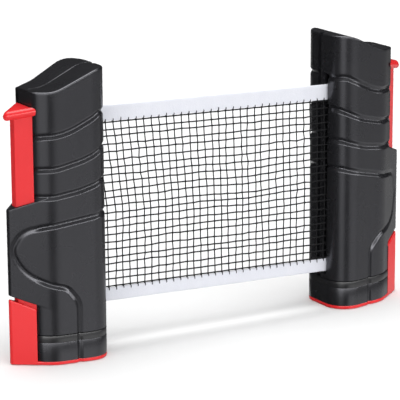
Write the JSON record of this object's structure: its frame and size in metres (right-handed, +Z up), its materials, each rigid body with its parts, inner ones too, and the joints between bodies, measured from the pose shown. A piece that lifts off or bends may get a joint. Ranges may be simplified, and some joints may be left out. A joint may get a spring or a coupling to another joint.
{
  "type": "table tennis net clamp set",
  "caption": "Portable table tennis net: black clamp posts with red spring slides and inner reels, joined by a white-taped black net that pulls out and winds back in.",
  "frame": {"origin": "middle of the set between the two posts, on the floor that the foot plates stand on", "axes": "+X from the left post to the right post along the net, +Y away from the front, +Z up"},
  "size_m": [0.3408, 0.05, 0.2122],
  "materials": {
    "black_plastic": "satin",
    "red_plastic": "gloss",
    "pad_rubber": "matte",
    "steel": "satin",
    "net_cord": "matte",
    "white_tape": "matte"
  },
  "bodies": {
    "left_post": {"left_proud_shell": "black_plastic", "left_recessed_shell": "black_plastic", "left_upper_pad": "pad_rubber", "left_clamp_spring": "steel", "left_reel_axle": "steel", "left_reel_bearing": "black_plastic", "left_spring_bulkhead": "black_plastic", "left_spring_lid": "black_plastic", "left_retract_spring": "steel", "net_mesh": "net_cord", "net_top_tape": "white_tape", "net_bottom_tape": "white_tape"},
    "right_post": {"right_proud_shell": "black_plastic", "right_recessed_shell": "black_plastic", "right_upper_pad": "pad_rubber", "right_clamp_spring": "steel", "right_reel_axle": "steel", "right_reel_bearing": "black_plastic", "right_spring_bulkhead": "black_plastic", "right_spring_lid": "black_plastic", "right_retract_spring": "steel"},
    "left_clamp": {"left_clamp_slide": "red_plastic", "left_lower_jaw": "black_plastic", "left_lower_pad": "pad_rubber", "left_jaw_screws": "steel"},
    "right_clamp": {"right_clamp_slide": "red_plastic", "right_lower_jaw": "black_plastic", "right_lower_pad": "pad_rubber", "right_jaw_screws": "steel"},
    "left_reel": {"left_spindle": "black_plastic", "left_net_roll": "net_cord"},
    "right_reel": {"right_spindle": "black_plastic", "right_net_roll": "net_cord"}
  },
  "joints": [
    {"name": "post_pull", "type": "slide", "parent": "left_post", "child": "right_post", "axis": [1, 0, 0], "range_m": [-0.197, 1.5], "deforming": ["net_mesh", "net_top_tape", "net_bottom_tape"]},
    {"name": "left_clamp_slide", "type": "slide", "parent": "left_post", "child": "left_clamp", "axis": [0, 0, -1], "range_m": [0, 0.05], "stiffness_N_per_m": 200, "springref_m": -0.02, "deforming": ["left_clamp_spring"]},
    {"name": "right_clamp_slide", "type": "slide", "parent": "right_post", "child": "right_clamp", "axis": [0, 0, -1], "range_m": [0, 0.05], "stiffness_N_per_m": 200, "springref_m": -0.02, "deforming": ["right_clamp_spring"]},
    {"name": "left_reel_turn", "type": "hinge", "parent": "left_post", "child": "left_reel", "pos_m": [-0.12875, -0.0045, 0.1], "axis": [0, 0, 1], "range_deg": [-4000, 600]},
    {"name": "right_reel_turn", "type": "hinge", "parent": "right_post", "child": "right_reel", "pos_m": [0.12875, 0.0045, 0.1], "axis": [0, 0, 1], "range_deg": [-4000, 600]}
  ],
  "couplings": [
    {"joint": "left_reel_turn", "follows": "post_pull", "rad_per_m": -45.455},
    {"joint": "right_reel_turn", "follows": "post_pull", "rad_per_m": -45.455}
  ]
}
